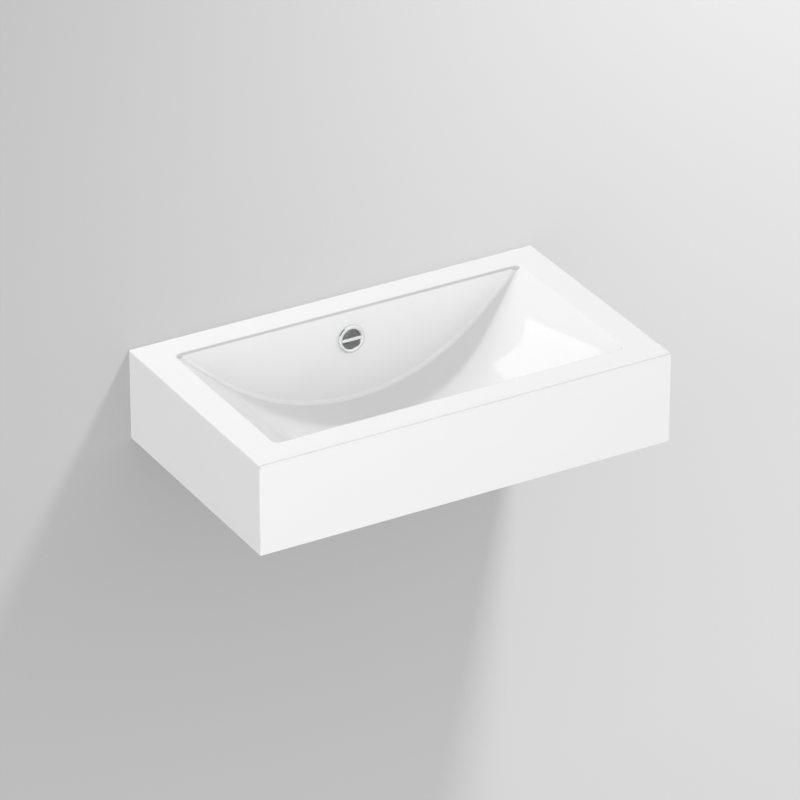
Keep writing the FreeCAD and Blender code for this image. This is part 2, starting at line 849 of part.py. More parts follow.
def make_overflow_pipe():
    """Bent plastic pipe from the elbow down to the waste body's port."""
    top = socket_end + size.pipe_entry
    bend = size.pipe_bend_radius
    body = doc.addObject("PartDesign::Body", "pipe")
    route = sketch_on(body, "pipe_route", "YZ_Plane")
    corners = [
        (-size.pipe_set_back, top),
        (-size.pipe_set_back, port_level + bend),
        (-(size.pipe_set_back + bend), port_level),
        (port_end - size.pipe_entry, port_level),
    ]
    outline(route, corners, {1: -bend}, closed=False)
    section = sketch_on(body, "pipe_section", "XY_Plane")
    bind(section, {"AttachmentOffset.Base.z": top})
    for radius in (size.pipe_radius, size.pipe_radius - size.pipe_wall):
        add_circle(section, as_size(0), -size.pipe_set_back, radius)
    feature = body.newObject("PartDesign::AdditivePipe", "pipe_sweep")
    feature.Profile = section
    feature.Spine = route
    name_node(body, "overflow_pipe")


def make_waste_cup():
    """Chromed cup with a rounded flange, a seat for the plug and a spider with a hub."""
    flange_edge = cup_underside + size.cup_flange_edge
    corners = [
        (cup_neck_bore, cup_end),
        (size.cup_neck_radius, cup_end),
        (size.cup_neck_radius, cup_underside),
        (size.cup_flange_radius, cup_underside),
        (size.cup_flange_radius, flange_edge),
        (size.cup_flange_radius - size.cup_flange_land, cup_top),
        (size.seat_mouth_radius, cup_top),
        (cup_neck_bore, cup_top - size.seat_fall),
    ]
    shape = turned("cup_shape", corners, {4: size.cup_bulge_radius})
    reach = cup_neck_bore + size.cup_neck_wall / 2
    arm = size.spider_arm_width
    arms = [
        box("spider_arm_x", (reach * 2, arm, size.spider_height), (-reach, -arm / 2, spider_foot)),
        box("spider_arm_y", (arm, reach * 2, size.spider_height), (-arm / 2, -reach, spider_foot)),
    ]
    hub = cylinder("spider_hub", size.spider_hub_radius, size.spider_height, (0, 0, spider_foot))
    bore = cylinder(
        "spider_bore",
        size.barrel_stud_radius + size.thread_clearance,
        size.cut_overrun,
        (0, 0, spider_foot - size.cut_overrun / 2),
    )
    cup = less("cup", joined("cup_solid", [shape, hub] + arms), bore)
    place(cup, (0, drain_y, 0))
    name_node(cup, "waste_cup")


def make_waste_seals():
    """Seals above and below the sheet at the drain, and the one at the tail."""
    hole = size.drain_hole_radius
    flange_reach = size.cup_flange_radius - size.flange_seal_inset
    collar_reach = size.body_collar_radius - size.body_seal_inset
    tail_reach = size.body_boss_radius - size.tail_seal_inset
    seals = (
        ("flange_seal", hole, flange_reach, recess_level, cup_underside),
        ("body_seal", hole, collar_reach, body_top, recess_underside),
        ("tail_seal", tail_bore, tail_reach, tail_flange_top, body_end),
    )
    for label, inner, outer, bottom, top in seals:
        seal = ring(f"{label}_ring", inner, outer, bottom, top)
        place(seal, (0, drain_y, 0))
        name_node(seal, label)


def make_waste_body():
    """Chamber under the bowl with a collar, a side port for the overflow and a boss."""
    collar_foot = body_top - size.body_collar_thickness
    corners = [
        (0, body_end),
        (size.body_boss_radius, body_end),
        (size.body_boss_radius, boss_top),
        (size.body_radius, boss_top + size.body_chamfer),
        (size.body_radius, collar_foot),
        (size.body_collar_radius, collar_foot),
        (size.body_collar_radius, body_top),
        (0, body_top),
    ]
    chamber_wall = turned("chamber_wall", corners)
    rearwards = ((1, 0, 0), -RIGHT_ANGLE)
    port = cylinder(
        "port_tube", socket_radius, size.port_reach, (0, 0, port_level), *rearwards
    )
    chamber = cylinder("chamber_space", body_bore, size.body_chamber_length, (0, 0, chamber_floor))
    outlet = cylinder(
        "outlet_space", tail_bore, size.body_floor + size.body_boss_length, (0, 0, body_end)
    )
    port_way = cylinder(
        "port_way",
        size.pipe_radius - size.pipe_wall,
        size.port_reach,
        (0, 0, port_level),
        *rearwards,
    )
    port_entry = cylinder(
        "port_entry",
        socket_bore,
        size.pipe_entry,
        (0, size.port_reach - size.pipe_entry, port_level),
        *rearwards,
    )
    solid = joined("chamber_solid", [chamber_wall, port])
    spaces = joined("chamber_spaces", [chamber, outlet, port_way, port_entry])
    body = less("chamber", solid, spaces)
    place(body, (0, drain_y, 0))
    name_node(body, "waste_body")


def make_waste_tail():
    """Threaded outlet that takes the union nut of a trap."""
    spigot_top = chamber_floor - size.tail_spigot_gap
    corners = [
        (size.tail_bore_radius, tail_end),
        (size.tail_thread_radius, tail_end),
        (size.tail_thread_radius, tail_flange_foot),
        (size.body_boss_radius, tail_flange_foot),
        (size.body_boss_radius, tail_flange_top),
        (size.tail_spigot_radius, tail_flange_top),
        (size.tail_spigot_radius, spigot_top),
        (size.tail_bore_radius, spigot_top),
    ]
    tail = turned("tail", corners)
    place(tail, (0, drain_y, 0))
    name_node(tail, "waste_tail")


def make_click_barrel():
    """Brass barrel screwed into the spider's hub, bored for the plunger and its spring."""
    corners = [
        (0, spider_foot),
        (size.barrel_stud_radius, spider_foot),
        (size.barrel_stud_radius, spider_top),
        (size.barrel_radius, spider_top),
        (size.barrel_radius, barrel_top),
        (size.barrel_bore_radius, barrel_top),
        (size.barrel_bore_radius, barrel_bore_floor),
        (0, barrel_bore_floor),
    ]
    barrel = turned("barrel", corners)
    place(barrel, (0, drain_y, 0))
    name_node(barrel, "click_barrel")


def make_click_spring():
    """Round-wire spring that lifts the plunger, from the barrel's floor into its bore."""
    wire = size.spring_wire_radius
    height = spring_top - barrel_bore_floor - wire * 2
    helix = doc.addObject("Part::Helix", "spring_line")
    bind(helix, {"Height": height, "Pitch": height / size.spring_turns, "Radius": size.spring_mean_radius})
    section = doc.addObject("Part::Circle", "spring_section")
    bind(section, {"Radius": wire})
    place(section, (size.spring_mean_radius, 0, 0), (1, 0, 0), RIGHT_ANGLE)
    coil = doc.addObject("Part::Sweep", "spring")
    coil.Sections = [section]
    coil.Spine = (helix, ["Edge1"])
    coil.Solid = True
    coil.Frenet = True
    place(coil, (0, drain_y, barrel_bore_floor + wire))
    name_node(coil, "click_spring")


def make_click_plunger():
    """Hollow plunger that slides in the barrel, with a stud for the plug."""
    stud_top = plug_boss_foot + size.plunger_stud_length
    corners = [
        (size.plunger_bore_radius, plunger_foot),
        (plunger_radius, plunger_foot),
        (plunger_radius, plug_boss_foot),
        (size.plunger_stud_radius, plug_boss_foot),
        (size.plunger_stud_radius, stud_top),
        (0, stud_top),
        (0, spring_top),
        (size.plunger_bore_radius, spring_top),
    ]
    plunger = turned("plunger", corners)
    place(plunger, (0, drain_y, 0))
    name_node(plunger, "click_plunger")


def make_plug():
    """Domed chromed cap with a boss for the plunger's stud, and the seal beneath it."""
    hole = size.plunger_stud_radius + size.thread_clearance
    hole_top = plug_boss_foot + size.plunger_stud_length + size.plunger_stud_gap
    edge = size.plug_edge_round
    rim_top = plug_underside + size.plug_thickness
    dome_radius = (size.plug_radius * size.plug_radius + size.plug_dome * size.plug_dome) / (
        size.plug_dome * 2
    )
    corners = [
        (hole, hole_top),
        (hole, plug_boss_foot),
        (size.plug_boss_radius, plug_boss_foot),
        (size.plug_boss_radius, plug_underside),
        (size.plug_radius - edge, plug_underside),
        (size.plug_radius, plug_underside + edge),
        (size.plug_radius, rim_top),
        (0, rim_top + size.plug_dome),
        (0, hole_top),
    ]
    cap = turned("cap", corners, {4: edge, 6: dome_radius})
    place(cap, (0, drain_y, 0))
    name_node(cap, "plug_cap")
    seal = ring(
        "cap_seal",
        size.plug_seal_radius - size.plug_seal_width,
        size.plug_seal_radius,
        plug_underside - size.plug_seal_depth,
        plug_underside,
    )
    place(seal, (0, drain_y, 0))
    name_node(seal, "plug_seal")


def check_features():
    """Stop if any feature failed, which a recompute alone doesn't report."""
    for feature in doc.Objects:
        if "Invalid" in feature.State or "Error" in feature.State:
            raise RuntimeError(f"{feature.Label} failed: {feature.State}")
    for feature in finished:
        shape = feature.Shape
        if shape.isNull() or not shape.isValid() or not shape.Solids:
            raise RuntimeError(f"{feature.Label} is not a sound solid")


def write_parts():
    os.makedirs("parts", exist_ok=True)
    for feature in finished:
        feature.Shape.exportStep(f"parts/{feature.Label}.step")
        print(feature.Label, len(feature.Shape.Solids), round(feature.Shape.Volume))


make_pressing()
make_apron()
make_brackets()
make_bushes()
make_sound_mats()
make_overflow_ring()
make_overflow_seals()
make_overflow_elbow()
make_pipe_joints()
make_overflow_pipe()
make_waste_cup()
make_waste_seals()
make_waste_body()
make_waste_tail()
make_click_barrel()
make_click_spring()
make_click_plunger()
make_plug()
doc.recompute()
check_features()
write_parts()
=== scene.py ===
import math

import bmesh
import bpy
from bpy.props import FloatProperty, FloatVectorProperty, IntProperty, PointerProperty
from mathutils import Matrix, Vector


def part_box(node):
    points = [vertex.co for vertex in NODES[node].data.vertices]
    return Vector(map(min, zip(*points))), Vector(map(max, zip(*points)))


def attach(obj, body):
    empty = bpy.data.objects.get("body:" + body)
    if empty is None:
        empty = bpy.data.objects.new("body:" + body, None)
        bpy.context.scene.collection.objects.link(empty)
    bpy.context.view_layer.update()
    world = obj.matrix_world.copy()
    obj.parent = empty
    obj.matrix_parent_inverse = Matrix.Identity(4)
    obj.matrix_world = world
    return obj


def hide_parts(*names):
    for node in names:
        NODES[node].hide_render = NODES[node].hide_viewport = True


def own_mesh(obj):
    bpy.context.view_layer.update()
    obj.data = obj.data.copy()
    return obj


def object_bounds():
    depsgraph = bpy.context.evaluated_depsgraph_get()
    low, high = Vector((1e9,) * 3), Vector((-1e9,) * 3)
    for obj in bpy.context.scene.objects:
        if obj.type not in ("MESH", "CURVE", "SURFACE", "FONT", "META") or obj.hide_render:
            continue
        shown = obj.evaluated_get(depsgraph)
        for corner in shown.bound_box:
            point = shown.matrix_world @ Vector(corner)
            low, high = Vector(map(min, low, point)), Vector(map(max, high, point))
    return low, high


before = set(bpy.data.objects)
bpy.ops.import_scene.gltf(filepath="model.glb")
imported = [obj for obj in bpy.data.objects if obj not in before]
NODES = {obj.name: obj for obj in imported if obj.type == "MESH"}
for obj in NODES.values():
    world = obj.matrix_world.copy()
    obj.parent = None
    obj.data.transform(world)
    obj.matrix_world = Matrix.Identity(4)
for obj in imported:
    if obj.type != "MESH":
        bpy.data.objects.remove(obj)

bl_info = {
    "name": "Wall-hung washbasin",
    "version": (1, 0, 0),
    "blender": (4, 5, 0),
    "location": "View3D > Sidebar > Washbasin",
    "description": "Finishes an enamelled washbasin with its overflow and push-open waste",
    "category": "Object",
}

MM = 0.001
FULL_TURN = 2 * math.pi
CAD_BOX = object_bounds()


def linear(code):
    """Turn an sRGB hex colour into linear red, green, blue and full alpha."""
    channels = [int(code[i : i + 2], 16) / 255 for i in (1, 3, 5)]
    return tuple(c / 12.92 if c <= 0.04045 else ((c + 0.055) / 1.055) ** 2.4 for c in channels) + (1.0,)


def colour_of(name, text, code):
    return FloatVectorProperty(
        name=name, description=text, subtype="COLOR", size=4, min=0.0, max=1.0, default=linear(code)
    )


def length_of(name, text, millimetres):
    return FloatProperty(
        name=name, description=text, unit="LENGTH", subtype="DISTANCE", default=millimetres * MM
    )


class BasinColours(bpy.types.PropertyGroup):
    """Colours of the finishes that a user may change."""

    enamel: colour_of("Enamel", "White of the top enamel", "#F1F1F1")
    # Partly the coat running thin over the rim's bends, partly painted shade: grey set where the lighting
    # darkens those bends.
    thin_enamel_and_painted_shade: colour_of("Thin enamel", "Grey where the white runs thin over a bend", "#CECFCF")
    # This white is a painted highlight along the hollow bends down in the bowl, not a thicker coat.
    painted_highlight_white: colour_of("Painted highlight", "White where the coat is thickest", "#FAFAFB")
    ground_coat: colour_of("Ground coat", "First coat of enamel, left bare at the back", "#4B5159")
    ground_speck: colour_of("Ground speck", "Overspray of white on the ground coat", "#B9BCBE")
    chrome: colour_of("Chrome", "Tint of the chrome plate", "#F2F3F4")
    brass: colour_of("Brass", "Tint of the turned brass", "#D2B26A")
    zinc: colour_of("Zinc", "Tint of the zinc plate", "#BDC1C6")
    steel_wire: colour_of("Steel wire", "Tint of the stainless spring", "#B9B7B3")
    polypropylene: colour_of("Polypropylene", "White of the waste pipes", "#E6E6E2")
    nylon: colour_of("Nylon", "Cream of the bolt bushes", "#DEDACB")
    rubber: colour_of("Rubber", "Black of the nitrile seals", "#1E1E1F")
    silicone: colour_of("Silicone", "Milky tint of the clear seals", "#DADCDB")
    bitumen: colour_of("Bitumen", "Near black of the sound mats", "#2A2A2B")
    wall: colour_of("Wall", "Grey of the wall behind", "#A0A0A0")


class BasinSizes(bpy.types.PropertyGroup):
    """Sizes of the detail that the scene adds to the CAD."""

    ring_inner_radius: length_of("Ring bore", "Radius of the hole in the overflow ring", 13.5)
    ring_outer_radius: length_of("Ring", "Outer radius of the overflow ring", 19.5)
    ring_neck_radius: length_of("Ring neck", "Outer radius of the ring's neck", 14.8)
    ring_neck_length: length_of("Neck length", "Length of the ring's neck behind the wall", 17.0)
    ring_seat: length_of("Ring seat", "Gap that the clear seal leaves under the ring", 0.8)
    ring_rise: length_of("Ring rise", "Height of the ring's crown above the wall", 3.6)
    ring_bar_width: length_of("Bar width", "Width of the bar across the ring", 4.8)
    ring_bar_thickness: length_of("Bar thickness", "Thickness of the bar across the ring", 2.2)
    thread_pitch: length_of("Thread pitch", "Pitch of the G 1 1/4 thread for the trap", 2.309)
    thread_depth: length_of("Thread depth", "Depth of that thread", 1.479)
    soft_edge: length_of("Soft edge", "Round on the moulded and cast edges", 0.5)
    mat_corner: length_of("Mat corner", "Round at the corners of the sound mats", 6.0)
    lathe_steps: IntProperty(name="Lathe steps", description="Facets round a turned piece", default=96)


class BasinStage(bpy.types.PropertyGroup):
    """Places of the camera and the lamps."""

    view_azimuth: FloatProperty(
        name="View azimuth", description="Camera's turn round the basin, from the front",
        subtype="ANGLE", default=math.radians(-29.66),
    )
    view_elevation: FloatProperty(
        name="View elevation", description="Camera's height above the horizon",
        subtype="ANGLE", default=math.radians(28.53),
    )
    view_distance: FloatProperty(
        name="View distance", description="From the camera to the point that it aims at",
        unit="LENGTH", default=7.393,
    )
    lens: FloatProperty(
        name="Lens", description="Focal length on a 36 mm sensor, in millimetres", default=258.5,
    )
    air: FloatProperty(name="Air", description="Light that comes from all round", default=0.31)
    air_front: FloatProperty(name="Air in front", description="More light from the front", default=0.70)
    air_back: FloatProperty(name="Air behind", description="More light from the wall's side", default=0.45)
    mirrored_air: FloatProperty(
        name="Mirrored air", description="Brightness of what glossy pieces mirror", default=0.95,
    )
    mirrored_dark: FloatProperty(
        name="Mirrored dark", description="Brightness of the dark flag overhead at the left", default=0.12,
    )
    card: FloatProperty(
        name="Card", description="Brightness of the card that the right flank mirrors", default=2.4,
    )
    wall_glow: FloatProperty(
        name="Wall glow", description="Light of the wall itself where the basin shades it", default=0.215,
    )
    wall_lamp: FloatProperty(
        name="Wall lamp", description="Power of the lamp that throws the shadow on the wall", default=20.0,
    )


def add_node(tree, kind, settings=None, links=None):
    """Add a shader node, with settings for its inputs or properties and links to its inputs."""
    node = tree.nodes.new(kind)
    for name, value in (settings or {}).items():
        if isinstance(name, int) or name in node.inputs:
            node.inputs[name].default_value = value
        else:
            setattr(node, name, value)
    for name, socket in (links or {}).items():
        tree.links.new(socket, node.inputs[name])
    return node


def new_material(name, settings):
    """Start a material from one Principled shader, read in Object coordinates."""
    material = bpy.data.materials.new(name)
    material.use_nodes = True
    tree = material.node_tree
    tree.nodes.clear()
    shader = add_node(tree, "ShaderNodeBsdfPrincipled", settings)
    add_node(tree, "ShaderNodeOutputMaterial", links={"Surface": shader.outputs["BSDF"]})
    place = add_node(tree, "ShaderNodeTexCoord").outputs["Object"]
    return material, tree, shader, place


def roughen(tree, shader, pattern, least, most):
    """Let a pattern move the roughness between two values."""
    spread = add_node(tree, "ShaderNodeMapRange", {"To Min": least, "To Max": most}, {"Value": pattern})
    tree.links.new(spread.outputs["Result"], shader.inputs["Roughness"])


def emboss(tree, shader, pattern, height, strength=1.0):
    """Let a pattern lift the surface by a height."""
    bump = add_node(tree, "ShaderNodeBump", {"Strength": strength, "Distance": height}, {"Height": pattern})
    tree.links.new(bump.outputs["Normal"], shader.inputs["Normal"])


def tint(tree, shader, pattern, first, second):
    """Let a pattern move the colour between two."""
    mix = add_node(tree, "ShaderNodeMixRGB", {"Color1": first, "Color2": second}, {"Fac": pattern})
    tree.links.new(mix.outputs["Color"], shader.inputs["Base Color"])


def shade(colour, share):
    """The same colour, its light scaled by a share."""
    return tuple(min(1.0, channel * share) for channel in colour[:3]) + (1.0,)


def all_of(tree, shares):
    """Multiply shares from 0 to 1, so that each of them has to hold."""
    total = shares[0]
    for share in shares[1:]:
        both = add_node(tree, "ShaderNodeMath", {"operation": "MULTIPLY"}, {0: total, 1: share})
        total = both.outputs["Value"]
    return total


def painted_bend_shade_and_highlight(tree, colours, white, place, lean):
    """Paint grey shade on the bends at the rim along the front and the back, partly the coat running thin
    there, and a painted highlight of lighter white on the hollow bends down in the bowl.

    A bend is where the sheet leans between level and upright, towards the front or the back.
    """
    low, high = (Vector(corner) for corner in CAD_BOX)
    past_level = add_node(
        tree, "ShaderNodeMapRange",
        {"interpolation_type": "SMOOTHSTEP", "From Min": 0.12, "From Max": 0.40}, {"Value": lean},
    )
    short_of_upright = add_node(
        tree, "ShaderNodeMapRange",
        {
            "interpolation_type": "SMOOTHSTEP", "From Min": 0.90, "From Max": 0.99,
            "To Min": 1.0, "To Max": 0.0,
        },
        {"Value": lean},
    )
    near_rim = add_node(
        tree, "ShaderNodeMapRange", {"From Min": high.z - 4.6 * MM, "From Max": high.z - 4.0 * MM},
        {"Value": place["Z"]},
    )
    # The painted shade runs from half strength at the front to full strength over the back half.
    near_wall = add_node(
        tree, "ShaderNodeMapRange", {"From Min": low.y, "From Max": (low.y + high.y) / 2, "To Min": 0.5},
        {"Value": place["Y"]},
    )
    # Only the hollow bends down in the bowl get the painted highlight.
    in_bowl = add_node(
        tree, "ShaderNodeMapRange", {"From Min": high.z - 8 * MM, "From Max": high.z - 12 * MM},
        {"Value": place["Z"]},
    )
    coat = white
    for colour, limits in (
        (colours.thin_enamel_and_painted_shade, (past_level, short_of_upright, near_rim, near_wall)),
        (colours.painted_highlight_white, (past_level, short_of_upright, in_bowl)),
    ):
        share = all_of(tree, [limit.outputs["Result"] for limit in limits])
        layer = add_node(tree, "ShaderNodeMixRGB", {"Color2": colour}, {"Fac": share, "Color1": coat})
        coat = layer.outputs["Color"]
    return coat


def bare_back(tree, place, rise):
    """Find the back: what faces the wall, or lies inside the apron and doesn't face up."""
    low, high = (Vector(corner) for corner in CAD_BOX)
    skin = 1.5 * MM
    rim_round = 2.25 * MM
    below_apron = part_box("apron")[0].z - 10 * MM
    tests = (
        (place["X"], "GREATER_THAN", low.x + skin),
        (place["X"], "LESS_THAN", high.x - skin),
        (place["Y"], "GREATER_THAN", low.y + skin),
        (place["Z"], "LESS_THAN", high.z - rim_round),
        (place["Z"], "GREATER_THAN", below_apron),
        (rise, "LESS_THAN", 0.04),
    )
    held = [
        add_node(tree, "ShaderNodeMath", {"operation": operation, 1: limit}, {0: socket})
        for socket, operation, limit in tests
    ]
    return all_of(tree, [test.outputs["Value"] for test in held])


def vitreous_enamel(colours):
    """Glass fired on steel at 820 degrees: a hard wet gloss over an even white.

    The spray leaves an orange peel with waves of about 9 mm and a thousandth or two of a
    millimetre high, so a mirrored edge wavers a little. The back of the sheet keeps its blue-grey
    ground coat, dusted by the white's overspray.
    """
    material, tree, shader, place = new_material(
        "vitreous_enamel_white", {"Roughness": 0.012, "IOR": 1.5}
    )
    peel = add_node(
        tree, "ShaderNodeTexNoise", {"Scale": 1 / (9 * MM), "Detail": 1.0, "Roughness": 0.4},
        {"Vector": place},
    )
    emboss(tree, shader, peel.outputs["Fac"], 0.0015 * MM)
    cloud = add_node(tree, "ShaderNodeTexNoise", {"Scale": 1 / (70 * MM), "Detail": 2.0}, {"Vector": place})
    white = add_node(
        tree, "ShaderNodeMixRGB", {"Color1": colours.enamel, "Color2": shade(colours.enamel, 0.985)},
        {"Fac": cloud.outputs["Fac"]},
    )
    spot = add_node(tree, "ShaderNodeSeparateXYZ", links={"Vector": place}).outputs
    facing = add_node(tree, "ShaderNodeNewGeometry").outputs["Normal"]
    tilt = add_node(tree, "ShaderNodeSeparateXYZ", links={"Vector": facing}).outputs
    lean = add_node(tree, "ShaderNodeMath", {"operation": "ABSOLUTE"}, {0: tilt["Y"]}).outputs["Value"]
    # Specks are 0.8 mm where real ones are 0.2 mm, which a view of the whole basin can't show.
    dust = add_node(tree, "ShaderNodeTexVoronoi", {"Scale": 1 / (3.5 * MM)}, {"Vector": place})
    speck = add_node(
        tree, "ShaderNodeMapRange", {"From Min": 0.16, "From Max": 0.26, "To Min": 1.0, "To Max": 0.0},
        {"Value": dust.outputs["Distance"]},
    )
    ground = add_node(
        tree, "ShaderNodeMixRGB", {"Color1": colours.ground_coat, "Color2": colours.ground_speck},
        {"Fac": speck.outputs["Result"]},
    )
    # The white carries painted shade on the rim's bends, partly the coat running thin there, and a painted
    # highlight on the hollow bends.
    whole = add_node(
        tree, "ShaderNodeMixRGB",
        links={
            "Fac": bare_back(tree, spot, tilt["Z"]),
            "Color1": painted_bend_shade_and_highlight(tree, colours, white.outputs["Color"], spot, lean),
            "Color2": ground.outputs["Color"],
        },
    )
    tree.links.new(whole.outputs["Color"], shader.inputs["Base Color"])
    return material


def chrome_plate(colours):
    """Bright chromium on polished brass: a near mirror, with the soft smears that buffing leaves."""
    material, tree, shader, place = new_material(
        "chrome_plate_polished", {"Base Color": colours.chrome, "Metallic": 1.0}
    )
    smear = add_node(tree, "ShaderNodeTexNoise", {"Scale": 1 / (6 * MM), "Detail": 3.0}, {"Vector": place})
    roughen(tree, shader, smear.outputs["Fac"], 0.04, 0.11)
    emboss(tree, shader, smear.outputs["Fac"], 0.004 * MM)
    return material


def satin_chrome(colours):
    """Chromium in a bore, where the bath reaches badly and no wheel polishes: a pale satin."""
    material, tree, shader, place = new_material(
        "chrome_plate_satin", {"Base Color": colours.chrome, "Metallic": 1.0}
    )
    bloom = add_node(tree, "ShaderNodeTexNoise", {"Scale": 1 / (3 * MM), "Detail": 2.0}, {"Vector": place})
    roughen(tree, shader, bloom.outputs["Fac"], 0.42, 0.62)
    return material


def turned_brass(colours):
    """Brass as it comes off the lathe: yellow, with fine rings round its axis."""
    material, tree, shader, place = new_material("brass_turned", {"Metallic": 1.0})
    # A wave texture has 20 radians to a unit. Tool marks are 0.5 mm apart, for real ones of 0.1 mm.
    marks = add_node(
        tree, "ShaderNodeTexWave",
        {"bands_direction": "Z", "Scale": FULL_TURN / 20 / (0.5 * MM), "Distortion": 0.4, "Detail": 2.0},
        {"Vector": place},
    )
    roughen(tree, shader, marks.outputs["Fac"], 0.16, 0.30)
    emboss(tree, shader, marks.outputs["Fac"], 0.01 * MM)
    tint(tree, shader, marks.outputs["Fac"], colours.brass, shade(colours.brass, 0.88))
    return material


def zinc_plate(colours):
    """Bright zinc on folded steel: a satin metal, its crystals showing as faint flakes of 5 mm."""
    material, tree, shader, place = new_material("zinc_plated_steel", {"Metallic": 1.0})
    flakes = add_node(tree, "ShaderNodeTexVoronoi", {"Scale": 1 / (5 * MM)}, {"Vector": place})
    tone = add_node(tree, "ShaderNodeSeparateColor", links={"Color": flakes.outputs["Color"]})
    tint(tree, shader, tone.outputs["Red"], colours.zinc, shade(colours.zinc, 0.8))
    roughen(tree, shader, tone.outputs["Green"], 0.28, 0.42)
    return material


def stainless_wire(colours):
    """Drawn stainless wire, slightly dulled along its length by the die."""
    material, tree, shader, place = new_material(
        "stainless_wire_drawn", {"Base Color": colours.steel_wire, "Metallic": 1.0}
    )
    dulling = add_node(
        tree, "ShaderNodeTexNoise", {"Scale": 1 / (0.8 * MM), "Detail": 2.0}, {"Vector": place}
    )
    roughen(tree, shader, dulling.outputs["Fac"], 0.2, 0.34)
    return material


def moulded_polymer(name, colour, roughness, grain, refraction):
    """Moulded polymer: a soft sheen over the even grain that its spark-eroded mould gives it."""
    material, tree, shader, place = new_material(name, {"IOR": refraction})
    skin = add_node(tree, "ShaderNodeTexNoise", {"Scale": 1 / grain, "Detail": 2.0}, {"Vector": place})
    flow = add_node(tree, "ShaderNodeTexNoise", {"Scale": 1 / (25 * MM), "Detail": 1.0}, {"Vector": place})
    tint(tree, shader, flow.outputs["Fac"], colour, shade(colour, 0.94))
    roughen(tree, shader, skin.outputs["Fac"], roughness - 0.05, roughness + 0.07)
    emboss(tree, shader, skin.outputs["Fac"], 0.02 * MM)
    return material


def clear_silicone(colours):
    """Clear silicone washers: milky at their edges, where light runs through them."""
    material, tree, shader, place = new_material(
        "silicone_clear", {"Transmission Weight": 0.55, "IOR": 1.41}
    )
    haze = add_node(tree, "ShaderNodeTexNoise", {"Scale": 1 / (4 * MM), "Detail": 2.0}, {"Vector": place})
    tint(tree, shader, haze.outputs["Fac"], colours.silicone, shade(colours.silicone, 0.92))
    roughen(tree, shader, haze.outputs["Fac"], 0.25, 0.4)
    return material


def bitumen_mat(colours):
    """Bitumen felt: dull, near black, with mineral grains of about 1 mm pressed in."""
    material, tree, shader, place = new_material("bitumen_mat_pressed", {"IOR": 1.5})
    grains = add_node(tree, "ShaderNodeTexVoronoi", {"Scale": 1 / (1.4 * MM)}, {"Vector": place})
    tint(tree, shader, grains.outputs["Distance"], colours.bitumen, shade(colours.bitumen, 2.2))
    roughen(tree, shader, grains.outputs["Distance"], 0.92, 0.72)
    emboss(tree, shader, grains.outputs["Distance"], 0.15 * MM)
    return material


def dress(material, *names):
    """Give a material to CAD nodes that keep their shape."""
    for name in names:
        NODES[name].material_slots[0].material = material


def finish_piece(name, shape, material, slot, *replaced):
    """Make a piece of the basin from a shape, in place of the nodes that it stands for."""
    bmesh.ops.recalc_face_normals(shape, faces=shape.faces)
    mesh = bpy.data.meshes.new(name)
    shape.to_mesh(mesh)
    shape.free()
    mesh.shade_smooth()
    mesh.set_sharp_from_angle(angle=math.radians(38))
    mesh.materials.append(material)
    piece = bpy.data.objects.new(name, mesh)
    bpy.context.scene.collection.objects.link(piece)
    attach(piece, "basin")
    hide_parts(*replaced)
    return piece


def soften(shape, radius, segments=3, least_angle=25):
    """Round every edge of a shape that turns by more than an angle, in degrees."""
    bmesh.ops.recalc_face_normals(shape, faces=shape.faces)
    edges = [
        edge
        for edge in shape.edges
        if len(edge.link_faces) == 2 and edge.calc_face_angle() > math.radians(least_angle)
    ]
    bmesh.ops.bevel(
        shape, geom=edges, offset=radius, segments=segments, profile=0.5, material=-1,
        affect="EDGES", clamp_overlap=True,
    )


def turn_section(shape, section, steps):
    """Turn a closed half section, given as radius and level, about +Z."""
    corners = [shape.verts.new((radius, 0, level)) for radius, level in section]
    sides = [shape.edges.new((corners[i - 1], corner)) for i, corner in enumerate(corners)]
    bmesh.ops.spin(
        shape, geom=corners + sides, cent=(0, 0, 0), axis=(0, 0, 1), angle=FULL_TURN, steps=steps,
        use_merge=True,
    )


class WASHBASIN_OT_enamel_shell(bpy.types.Operator):
    """Enamel the pressing and the apron"""

    bl_idname = "washbasin.enamel_shell"
    bl_label = "Enamelled shell"

    def execute(self, context):
        dress(vitreous_enamel(context.scene.basin_colours), "bowl_pressing", "apron")
        return {"FINISHED"}


